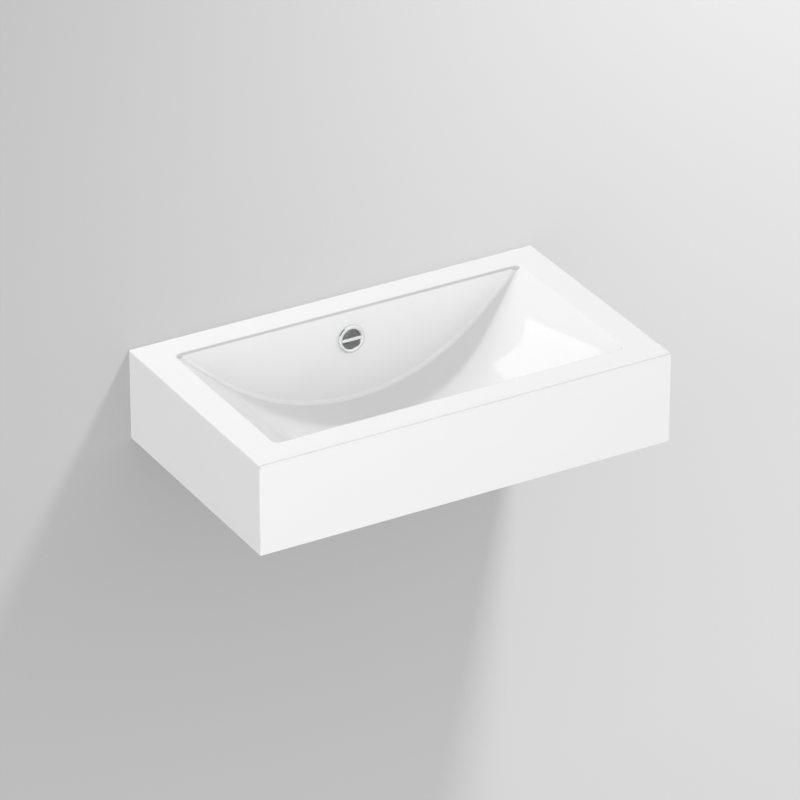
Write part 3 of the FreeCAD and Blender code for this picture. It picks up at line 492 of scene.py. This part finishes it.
class WASHBASIN_OT_overflow_ring(bpy.types.Operator):
    """Make the chromed overflow ring with its rounded crown and bar"""

    bl_idname = "washbasin.overflow_ring"
    bl_label = "Overflow ring"

    def execute(self, context):
        sizes = context.scene.basin_sizes
        bore, outer, neck = sizes.ring_inner_radius, sizes.ring_outer_radius, sizes.ring_neck_radius
        seat, rise = sizes.ring_seat, sizes.ring_rise
        crown = (bore + outer) / 2
        side = seat + 0.8 * MM
        shoulder = (rise - side) * 0.62 + side
        cheek = (outer - crown) * 0.72
        brow = (outer - crown) * 0.36
        section = (
            (bore, -sizes.ring_neck_length), (neck, -sizes.ring_neck_length), (neck, seat), (outer, seat),
            (outer, side), (crown + cheek, shoulder), (crown + brow, rise - 0.25 * MM), (crown, rise),
            (crown - brow, rise - 0.25 * MM), (crown - cheek, shoulder), (bore, side),
        )
        shape = bmesh.new()
        turn_section(shape, section, sizes.lathe_steps)
        soften(shape, 0.25 * MM, 2)
        bar = bmesh.new()
        bmesh.ops.create_cube(bar, size=1.0)
        length = bore + neck
        bmesh.ops.scale(bar, vec=(length, sizes.ring_bar_width, sizes.ring_bar_thickness), verts=bar.verts)
        bmesh.ops.translate(bar, vec=(0, 0, seat + sizes.ring_bar_thickness / 2), verts=bar.verts)
        soften(bar, 0.7 * MM, 4)
        loose = bpy.data.meshes.new("ring_bar")
        bar.to_mesh(loose)
        bar.free()
        shape.from_mesh(loose)
        bpy.data.meshes.remove(loose)
        # The ring faces the way that the rear wall of the bowl does, 5 degrees up from level.
        low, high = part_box("overflow_ring")
        turn = Matrix.Rotation(math.radians(85), 4, "X")
        turned = [turn @ vert.co for vert in shape.verts]
        centre = Vector((0, low.y - min(co.y for co in turned), high.z - max(co.z for co in turned)))
        bmesh.ops.transform(shape, matrix=Matrix.Translation(centre) @ turn, verts=shape.verts)
        # The bore's faces look at the ring's axis, from behind the crown.
        axis = turn.to_3x3() @ Vector((0, 0, 1))
        for face in shape.faces:
            arm = face.calc_center_median() - centre
            level = arm.dot(axis)
            if level < side and (arm - axis * level).length < bore + 0.1 * MM:
                face.material_index = 1
        colours = context.scene.basin_colours
        ring = finish_piece(
            "overflow_ring_rounded", shape, chrome_plate(colours), "chromed_brass", "overflow_ring"
        )
        ring.data.materials.append(satin_chrome(colours))
        return {"FINISHED"}


class WASHBASIN_OT_pipework(bpy.types.Operator):
    """Finish the overflow's elbow and pipe, and make their two joint nuts"""

    bl_idname = "washbasin.pipework"
    bl_label = "Overflow pipework"

    def execute(self, context):
        sizes = context.scene.basin_sizes
        colours = context.scene.basin_colours
        plastic = moulded_polymer(
            "polypropylene_moulded", colours.polypropylene, 0.36, 0.6 * MM, 1.49
        )
        dress(plastic, "overflow_elbow", "overflow_pipe", "waste_body")
        # One nut screws up onto the elbow, the other backwards onto the waste's port.
        for node in ("elbow_nut", "port_nut"):
            low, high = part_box(node)
            middle = (low + high) / 2
            corner = (high.x - low.x) / 2
            flat = corner * math.cos(math.radians(30))
            if node == "elbow_nut":
                height, base, turn = high.z - low.z, (middle.x, middle.y, low.z), Matrix.Identity(4)
            else:
                height, base = high.y - low.y, (middle.x, high.y, middle.z)
                turn = Matrix.Rotation(math.radians(90), 4, "X")
            lip, bore, nose = 3.0 * MM, flat - 2.6 * MM, 10.2 * MM
            section = (
                (nose, 0), (flat - 0.4 * MM, 0), (corner, 1.6 * MM), (corner, height - 1.6 * MM),
                (flat - 0.4 * MM, height), (bore, height), (bore, lip), (nose, lip),
            )
            shape = bmesh.new()
            turn_section(shape, section, 120)
            for vert in shape.verts:
                reach = math.hypot(vert.co.x, vert.co.y)
                if reach > bore + sizes.soft_edge:
                    off_flat = math.atan2(vert.co.y, vert.co.x) % math.radians(60) - math.radians(30)
                    limit = min(flat / math.cos(off_flat), corner - sizes.soft_edge)
                    vert.co.xy *= min(1.0, limit / reach)
            soften(shape, 0.3 * MM, 2, 35)
            bmesh.ops.transform(shape, matrix=Matrix.Translation(base) @ turn, verts=shape.verts)
            finish_piece(f"{node}_hexagonal", shape, plastic, "white_polypropylene", node)
        return {"FINISHED"}


class WASHBASIN_OT_waste(bpy.types.Operator):
    """Finish the waste cup and its push mechanism, and cut the tail's thread"""

    bl_idname = "washbasin.waste"
    bl_label = "Push-open waste"

    def execute(self, context):
        sizes = context.scene.basin_sizes
        colours = context.scene.basin_colours
        chrome = bpy.data.materials["chrome_plate_polished"]
        brass = turned_brass(colours)
        dress(chrome, "waste_cup", "plug_cap")
        dress(brass, "click_barrel", "click_plunger")
        # The spring's foot stays on the barrel, and its head follows the plug down.
        coil = bmesh.new()
        coil.from_mesh(NODES["click_spring"].data)
        bmesh.ops.remove_doubles(coil, verts=coil.verts, dist=0.001 * MM)
        spring = finish_piece(
            "click_spring_coiled", coil, stainless_wire(colours), "spring_steel", "click_spring"
        )
        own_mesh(spring)
        low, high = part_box("waste_tail")
        centre = (low + high) / 2
        crest = 20.95 * MM
        root = crest - sizes.thread_depth
        bore, spigot, flange = 16.5 * MM, 18.8 * MM, (high.x - low.x) / 2
        flange_foot, flange_top = 16.0 * MM, 19.0 * MM
        top = high.z - low.z
        shape = bmesh.new()
        section = (
            (bore, 0), (root - 0.6 * MM, 0), (root, 1.0 * MM), (root, flange_foot), (flange, flange_foot),
            (flange, flange_top), (spigot, flange_top), (spigot, top), (bore, top),
        )
        turn_section(shape, section, sizes.lathe_steps)
        soften(shape, 0.3 * MM, 2)
        # The thread's ridge is one closed turn-shaped solid, swept up round the core.
        pitch = sizes.thread_pitch
        inside = root - 0.4 * MM
        start = 0.7 * MM
        ridge = [
            shape.verts.new(corner)
            for corner in (
                (inside, 0, start), (crest, 0, start + pitch * 0.40), (crest, 0, start + pitch * 0.55),
                (inside, 0, start + pitch * 0.95),
            )
        ]
        face = shape.faces.new(ridge)
        turns, steps = 5.5, 48
        bmesh.ops.spin(
            shape, geom=[face] + list(face.edges) + ridge, cent=(0, 0, 0), axis=(0, 0, 1),
            dvec=(0, 0, pitch / steps), angle=FULL_TURN * turns, steps=int(steps * turns),
        )
        bmesh.ops.translate(shape, vec=(centre.x, centre.y, low.z), verts=shape.verts)
        finish_piece("waste_tail_threaded", shape, chrome, "chromed_brass", "waste_tail")
        return {"FINISHED"}


class WASHBASIN_OT_seals(bpy.types.Operator):
    """Finish the rubber and silicone seals"""

    bl_idname = "washbasin.seals"
    bl_label = "Seals"

    def execute(self, context):
        colours = context.scene.basin_colours
        rubber = moulded_polymer("nitrile_rubber_moulded", colours.rubber, 0.55, 0.8 * MM, 1.52)
        dress(
            rubber, "overflow_rear_seal", "elbow_seal", "port_seal", "body_seal", "tail_seal", "plug_seal"
        )
        dress(clear_silicone(colours), "overflow_front_seal", "flange_seal")
        return {"FINISHED"}


class WASHBASIN_OT_wall_fixing(bpy.types.Operator):
    """Finish the two wall brackets and their bolt bushes"""

    bl_idname = "washbasin.wall_fixing"
    bl_label = "Wall fixing"

    def execute(self, context):
        colours = context.scene.basin_colours
        dress(zinc_plate(colours), "wall_bracket_left", "wall_bracket_right")
        nylon = moulded_polymer("nylon_moulded", colours.nylon, 0.42, 0.6 * MM, 1.53)
        dress(nylon, "bracket_bushes")
        return {"FINISHED"}


class WASHBASIN_OT_sound_mats(bpy.types.Operator):
    """Lay the two bitumen mats with rounded corners under the flanks of the bowl"""

    bl_idname = "washbasin.sound_mats"
    bl_label = "Sound mats"

    def execute(self, context):
        sizes = context.scene.basin_sizes
        felt = bitumen_mat(context.scene.basin_colours)
        for node in ("sound_mat_left", "sound_mat_right"):
            mesh = NODES[node].data
            # The node's own faces give the mat's axes, which follow the flank's slope.
            tall = max(mesh.polygons, key=lambda face: face.area * (face.normal.z > 0))
            normal = tall.normal.copy()
            along = Vector((0, 1, 0))
            across = along.cross(normal).normalized()
            axes = (across, along, normal)
            points = [vert.co for vert in mesh.vertices]
            spans = [(min(p.dot(a) for p in points), max(p.dot(a) for p in points)) for a in axes]
            shape = bmesh.new()
            bmesh.ops.create_cube(shape, size=1.0)
            bmesh.ops.scale(shape, vec=[high - low for low, high in spans], verts=shape.verts)
            upright = [e for e in shape.edges if abs((e.verts[0].co - e.verts[1].co).z) > 1 * MM]
            bmesh.ops.bevel(
                shape, geom=upright, offset=sizes.mat_corner, segments=6, profile=0.5, material=-1,
                affect="EDGES",
            )
            soften(shape, 0.6 * MM, 2)
            turn = Matrix(axes).transposed().to_4x4()
            centre = sum((axis * ((low + high) / 2) for axis, (low, high) in zip(axes, spans)), Vector())
            bmesh.ops.transform(shape, matrix=Matrix.Translation(centre) @ turn, verts=shape.verts)
            finish_piece(f"{node}_felt", shape, felt, "damping_mat", node)
        return {"FINISHED"}


# The soft lamps stand round the basin's middle: direction, distance, width, height and radiance.
# The back key is the small one, so the rear rim throws a crisp band of shade along the bowl.
BASIN_MIDDLE = Vector((0, -0.176, 0))
SOFT_LAMPS = {
    "back_softbox": ((-0.35, 1.1, 1.0), 4.0, 3.75, 1.9, 1.75),
    "back_key": ((-0.25, 0.74, 1.0), 3.0, 0.3, 0.3, 62.0),
    "back_left_softbox": ((-0.7, 1.1, 1.0), 4.0, 2.25, 1.9, 1.35),
    "front_panel": ((-0.5, -1.0, 0.35), 1.3, 0.8, 0.67, 1.4),
    "left_panel": ((-1.0, -0.3, 0.3), 2.2, 1.2, 1.2, 0.5),
    "right_panel": ((0.8, -1.0, 0.8), 2.3, 1.2, 1.2, 1.8),
}
WALL_LAMP_PLACE = Vector((0.5, -0.9, 1.4))
WALL_LAMP_WAY = Vector((0.72, 0.65, -0.45))
WALL_LAMP_SIZE = 0.3
FLAG_WAY = (-0.70, -0.17, 0.69)
CAMERA_AIM = Vector((1.0, -174.4, -21.8)) * MM
SENSOR_WIDTH = 36.0
WHITE = (1.0, 1.0, 1.0, 1.0)


def new_lamp(name, place, aim, width, height, power):
    """A rectangular lamp that lights but is never seen or mirrored."""
    data = bpy.data.lights.new(name, "AREA")
    data.shape = "RECTANGLE"
    data.size = width
    data.size_y = height
    data.energy = power
    lamp = bpy.data.objects.new(name, data)
    lamp.location = place
    lamp.rotation_mode = "QUATERNION"
    lamp.rotation_quaternion = (Vector(aim) - Vector(place)).to_track_quat("-Z", "Y")
    lamp.visible_camera = False
    lamp.visible_glossy = False
    bpy.context.scene.collection.objects.link(lamp)
    return lamp


def new_sheet(name, centre, across, along, material):
    """A flat stage sheet, its half edges given as vectors from its centre."""
    shape = bmesh.new()
    bmesh.ops.create_grid(shape, x_segments=1, y_segments=1, size=1.0)
    turn = Matrix((across, along, across.cross(along))).transposed().to_4x4()
    bmesh.ops.transform(shape, matrix=Matrix.Translation(centre) @ turn, verts=shape.verts)
    mesh = bpy.data.meshes.new(name)
    shape.to_mesh(mesh)
    shape.free()
    mesh.materials.append(material)
    sheet = bpy.data.objects.new(name, mesh)
    bpy.context.scene.collection.objects.link(sheet)
    return sheet


def wall_paint(colours, places):
    """Matt wall that takes the basin's shadow and glows a little to the camera.

    It shows from its front only, so the basin can be looked at from behind.
    """
    material = bpy.data.materials.new("wall_paint_matt")
    material.use_nodes = True
    tree = material.node_tree
    tree.nodes.clear()
    paint = add_node(tree, "ShaderNodeBsdfDiffuse", {"Color": colours.wall})
    place = add_node(tree, "ShaderNodeTexCoord").outputs["Object"]
    split = add_node(tree, "ShaderNodeSeparateXYZ", links={"Vector": place})
    # The wall's foot catches a little light back from the floor.
    bounce = add_node(
        tree, "ShaderNodeMapRange",
        {
            "From Min": -0.25, "From Max": -0.75,
            "To Min": places.wall_glow, "To Max": places.wall_glow + 0.045,
        },
        {"Value": split.outputs["Z"]},
    )
    glow = add_node(tree, "ShaderNodeEmission", links={"Strength": bounce.outputs["Result"]})
    sum_of = add_node(tree, "ShaderNodeAddShader", links={0: paint.outputs[0], 1: glow.outputs[0]})
    clear = add_node(tree, "ShaderNodeBsdfTransparent")
    side = add_node(tree, "ShaderNodeNewGeometry")
    mix = add_node(
        tree, "ShaderNodeMixShader",
        links={0: side.outputs["Backfacing"], 1: sum_of.outputs[0], 2: clear.outputs[0]},
    )
    add_node(tree, "ShaderNodeOutputMaterial", links={"Surface": mix.outputs["Shader"]})
    return material


def studio_air(places):
    """World: even light with more from the two ends, and a mirrored room with a dark flag."""
    world = bpy.data.worlds.new("studio_air")
    world.use_nodes = True
    tree = world.node_tree
    tree.nodes.clear()
    way = add_node(tree, "ShaderNodeTexCoord").outputs["Generated"]
    split = add_node(tree, "ShaderNodeSeparateXYZ", links={"Vector": way})
    front = add_node(
        tree, "ShaderNodeMapRange",
        {"From Min": -1.0, "From Max": 0.0, "To Min": places.air + places.air_front, "To Max": places.air},
        {"Value": split.outputs["Y"]},
    )
    behind = add_node(
        tree, "ShaderNodeMapRange", {"From Min": 0.0, "From Max": 1.0, "To Max": places.air_back},
        {"Value": split.outputs["Y"]},
    )
    even = add_node(
        tree, "ShaderNodeMath", {"operation": "ADD"},
        {0: front.outputs["Result"], 1: behind.outputs["Result"]},
    )
    flag = add_node(
        tree, "ShaderNodeVectorMath", {"operation": "DOT_PRODUCT", 1: FLAG_WAY}, {0: way}
    )
    room = add_node(
        tree, "ShaderNodeMapRange",
        {
            "interpolation_type": "SMOOTHSTEP", "From Min": 0.84, "From Max": 0.95,
            "To Min": places.mirrored_air, "To Max": places.mirrored_dark,
        },
        {"Value": flag.outputs["Value"]},
    )
    path = add_node(tree, "ShaderNodeLightPath")
    lit = add_node(tree, "ShaderNodeBackground", links={"Strength": even.outputs["Value"]})
    mirrored = add_node(tree, "ShaderNodeBackground", links={"Strength": room.outputs["Result"]})
    seen = add_node(tree, "ShaderNodeBackground", {"Strength": 0.72})
    for background in (lit, mirrored, seen):
        background.inputs["Color"].default_value = WHITE
    inner = add_node(
        tree, "ShaderNodeMixShader",
        links={0: path.outputs["Is Glossy Ray"], 1: lit.outputs[0], 2: mirrored.outputs[0]},
    )
    whole = add_node(
        tree, "ShaderNodeMixShader",
        links={0: path.outputs["Is Camera Ray"], 1: inner.outputs[0], 2: seen.outputs[0]},
    )
    add_node(tree, "ShaderNodeOutputWorld", links={"Surface": whole.outputs[0]})
    return world


def mirrored_card(places):
    """Small bright card that only mirrors see: it gives the right flank its white triangle."""
    material = bpy.data.materials.new("card_glowing")
    material.use_nodes = True
    tree = material.node_tree
    tree.nodes.clear()
    glow = add_node(tree, "ShaderNodeEmission", {"Strength": places.card})
    add_node(tree, "ShaderNodeOutputMaterial", links={"Surface": glow.outputs[0]})
    corner = Vector((61, 190, 237)) * MM
    across = Vector((-84, 0, 0)) * MM / 2
    along = Vector((0, -0.924, 0.383)) * 130 * MM / 2
    card = new_sheet("stage_card", corner + across + along, across, along, material)
    card.visible_camera = card.visible_diffuse = False
    card.visible_shadow = card.visible_transmission = False


class WASHBASIN_OT_stage(bpy.types.Operator):
    """Set up the wall, the floor, the lamps and the camera"""

    bl_idname = "washbasin.stage"
    bl_label = "Stage"

    def execute(self, context):
        scene = context.scene
        places = scene.basin_stage
        paint = wall_paint(scene.basin_colours, places)
        wall = new_sheet(
            "stage_wall", Vector((0, 1 * MM, 2.2)), Vector((6, 0, 0)), Vector((0, 0, 3.2)), paint
        )
        floor = new_sheet(
            "stage_floor", Vector((0, 0, -1.0)), Vector((12, 0, 0)), Vector((0, 12, 0)), paint
        )
        others = bpy.data.collections.new("lit_by_soft_lamps")
        stage_only = bpy.data.collections.new("lit_by_wall_lamp")
        for sheet in (wall, floor):
            sheet.visible_shadow = sheet.visible_glossy = sheet.visible_diffuse = False
            others.objects.link(sheet)
            stage_only.objects.link(sheet)
        for member in others.collection_objects:
            member.light_linking.link_state = "EXCLUDE"
        for name, (way, distance, width, height, radiance) in SOFT_LAMPS.items():
            place = BASIN_MIDDLE + Vector(way).normalized() * distance
            power = math.pi * width * height * radiance
            lamp = new_lamp(name, place, BASIN_MIDDLE, width, height, power)
            lamp.light_linking.receiver_collection = others
        # The wall's own lamp keeps its strength with distance, as a far lamp would.
        lamp = new_lamp(
            "wall_lamp", WALL_LAMP_PLACE, WALL_LAMP_PLACE + WALL_LAMP_WAY, WALL_LAMP_SIZE, WALL_LAMP_SIZE,
            places.wall_lamp,
        )
        lamp.light_linking.receiver_collection = stage_only
        lamp.data.use_nodes = True
        tree = lamp.data.node_tree
        tree.nodes.clear()
        reach = add_node(tree, "ShaderNodeLightFalloff", {"Strength": 1.0})
        glow = add_node(tree, "ShaderNodeEmission", links={"Strength": reach.outputs["Constant"]})
        add_node(tree, "ShaderNodeOutputLight", links={"Surface": glow.outputs[0]})
        mirrored_card(places)
        scene.world = studio_air(places)
        azimuth, elevation = places.view_azimuth, places.view_elevation
        back = Vector(
            (
                math.sin(azimuth) * math.cos(elevation),
                -math.cos(azimuth) * math.cos(elevation),
                math.sin(elevation),
            )
        )
        data = bpy.data.cameras.new("camera")
        data.lens = places.lens
        data.sensor_width = SENSOR_WIDTH
        data.clip_end = 50.0
        camera = bpy.data.objects.new("camera", data)
        camera.location = CAMERA_AIM + back * places.view_distance
        camera.rotation_mode = "QUATERNION"
        camera.rotation_quaternion = (-back).to_track_quat("-Z", "Y")
        scene.collection.objects.link(camera)
        scene.camera = camera
        scene.view_settings.view_transform = "Standard"
        return {"FINISHED"}


class WASHBASIN_PT_panel(bpy.types.Panel):
    """Lists the steps that finish the washbasin"""

    bl_label = "Washbasin"
    bl_idname = "WASHBASIN_PT_panel"
    bl_space_type = "VIEW_3D"
    bl_region_type = "UI"
    bl_category = "Washbasin"

    def draw(self, context):
        for operator in OPERATORS:
            self.layout.operator(operator.bl_idname)


OPERATORS = (
    WASHBASIN_OT_enamel_shell,
    WASHBASIN_OT_overflow_ring,
    WASHBASIN_OT_pipework,
    WASHBASIN_OT_waste,
    WASHBASIN_OT_seals,
    WASHBASIN_OT_wall_fixing,
    WASHBASIN_OT_sound_mats,
    WASHBASIN_OT_stage,
)
CLASSES = (BasinColours, BasinSizes, BasinStage) + OPERATORS + (WASHBASIN_PT_panel,)


def register():
    for cls in CLASSES:
        bpy.utils.register_class(cls)
    bpy.types.Scene.basin_colours = PointerProperty(type=BasinColours)
    bpy.types.Scene.basin_sizes = PointerProperty(type=BasinSizes)
    bpy.types.Scene.basin_stage = PointerProperty(type=BasinStage)


def unregister():
    del bpy.types.Scene.basin_stage
    del bpy.types.Scene.basin_sizes
    del bpy.types.Scene.basin_colours
    for cls in reversed(CLASSES):
        bpy.utils.unregister_class(cls)


def main():
    register()
    bpy.ops.washbasin.enamel_shell()
    bpy.ops.washbasin.overflow_ring()
    bpy.ops.washbasin.pipework()
    bpy.ops.washbasin.waste()
    bpy.ops.washbasin.seals()
    bpy.ops.washbasin.wall_fixing()
    bpy.ops.washbasin.sound_mats()
    bpy.ops.washbasin.stage()


if __name__ == "__main__":
    main()
